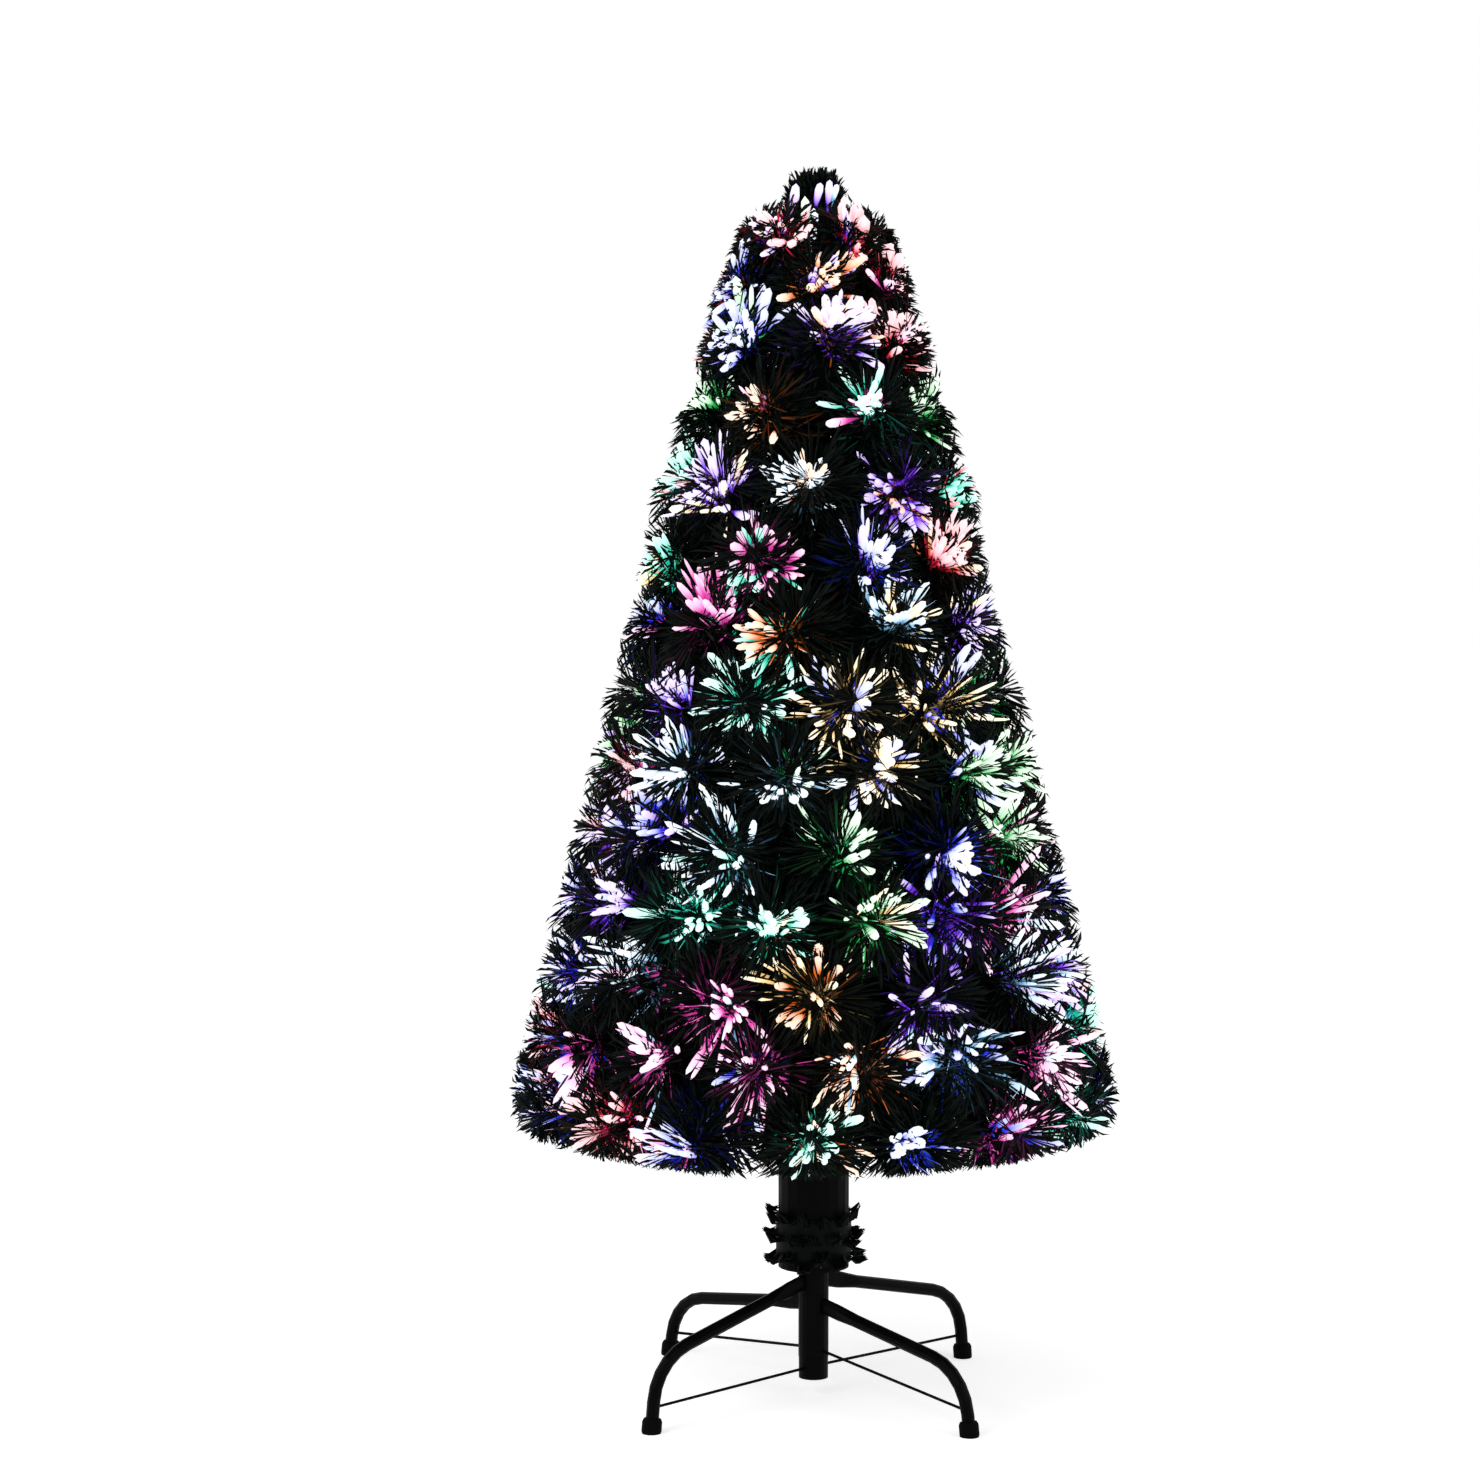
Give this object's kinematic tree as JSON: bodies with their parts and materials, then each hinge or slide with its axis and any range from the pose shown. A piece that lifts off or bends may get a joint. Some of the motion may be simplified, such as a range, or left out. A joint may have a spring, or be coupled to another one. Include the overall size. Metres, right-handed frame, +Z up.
{
  "type": "fiber optic christmas tree",
  "caption": "Narrow artificial tree of dark needles with lit fibre sprays, on a lamp housing and a folding black steel stand of bent tube legs.",
  "frame": {"origin": "on the floor, below the trunk's axis, at the centre of the four feet", "axes": "+Z up along the trunk; the upper legs lie along -Y (front) and +Y, the lower, swivelling legs along -X and +X"},
  "size_m": [0.606, 0.606, 1.201],
  "materials": {
    "powder_coated_steel": "satin",
    "zinc_plated_steel": "satin",
    "black_rubber": "matte",
    "black_plastic": "matte",
    "pvc_needles": "matte",
    "clear_fibre": "gloss",
    "lit_fibre": "gloss",
    "lamp_body": "satin",
    "colour_film": "gloss",
    "ferrule_aluminium": "satin"
  },
  "bodies": {
    "stand": {"post_tube": "powder_coated_steel", "post_foot_ring": "powder_coated_steel", "post_collar": "powder_coated_steel", "leg_front": "powder_coated_steel", "leg_rear": "powder_coated_steel", "foot_front": "black_rubber", "foot_rear": "black_rubber", "brace_front": "powder_coated_steel", "brace_rear": "powder_coated_steel"},
    "swivel_legs": {"swivel_sleeve": "powder_coated_steel", "leg_left": "powder_coated_steel", "leg_right": "powder_coated_steel", "foot_left": "black_rubber", "foot_right": "black_rubber", "brace_left": "powder_coated_steel", "brace_right": "powder_coated_steel"},
    "clamp": {"clamp_screw": "zinc_plated_steel", "clamp_knob": "black_plastic"},
    "bush": {"trunk_bush": "black_plastic"},
    "tree": {"trunk_stub": "powder_coated_steel", "housing_base": "black_plastic", "housing_shell": "black_plastic", "housing_lid": "black_plastic", "chassis_plate": "zinc_plated_steel", "wheel_motor": "zinc_plated_steel", "led_lamp": "lamp_body", "bundle_ferrule": "ferrule_aluminium", "power_inlet": "black_plastic", "trunk_pole": "powder_coated_steel", "fibre_bundle": "clear_fibre", "needle_skirt": "pvc_needles", "bough_1_1": "pvc_needles", "bough_1_2": "pvc_needles", "bough_1_3": "pvc_needles", "bough_1_4": "pvc_needles", "bough_1_5": "pvc_needles", "bough_1_6": "pvc_needles", "bough_2_1": "pvc_needles", "bough_2_2": "pvc_needles", "bough_2_3": "pvc_needles", "bough_2_4": "pvc_needles", "bough_2_5": "pvc_needles", "bough_3_1": "pvc_needles", "bough_3_2": "pvc_needles", "bough_3_3": "pvc_needles", "bough_3_4": "pvc_needles", "bough_3_5": "pvc_needles", "bough_4_1": "pvc_needles", "bough_4_2": "pvc_needles", "bough_4_3": "pvc_needles", "bough_4_4": "pvc_needles", "bough_5_1": "pvc_needles", "bough_5_2": "pvc_needles", "bough_5_3": "pvc_needles", "bough_6_1": "pvc_needles", "bough_6_2": "pvc_needles", "bough_6_3": "pvc_needles", "leader": "pvc_needles", "top_tuft": "pvc_needles"},
    "wheel": {"colour_wheel": "colour_film"}
  },
  "joints": [
    {"name": "leg_swivel", "type": "hinge", "parent": "stand", "child": "swivel_legs", "pos_m": [0, 0, 0.07], "axis": [0, 0, 1], "range_deg": [-82, 82]},
    {"name": "clamp_turn", "type": "hinge", "parent": "stand", "child": "clamp", "pos_m": [0, 0, 0.1099], "axis": [-0.7071, 0.7071, 0], "range_deg": [0, 1440]},
    {"name": "tree_turn", "type": "hinge", "parent": "stand", "child": "bush", "pos_m": [0, 0, 0.12], "axis": [0, 0, 1], "continuous": true},
    {"name": "tree_lift", "type": "slide", "parent": "bush", "child": "tree", "axis": [0, 0, 1], "range_m": [0, 0.1]},
    {"name": "wheel_spin", "type": "hinge", "parent": "tree", "child": "wheel", "pos_m": [0.012, 0, 0.16], "axis": [0, 0, 1], "continuous": true}
  ]
}
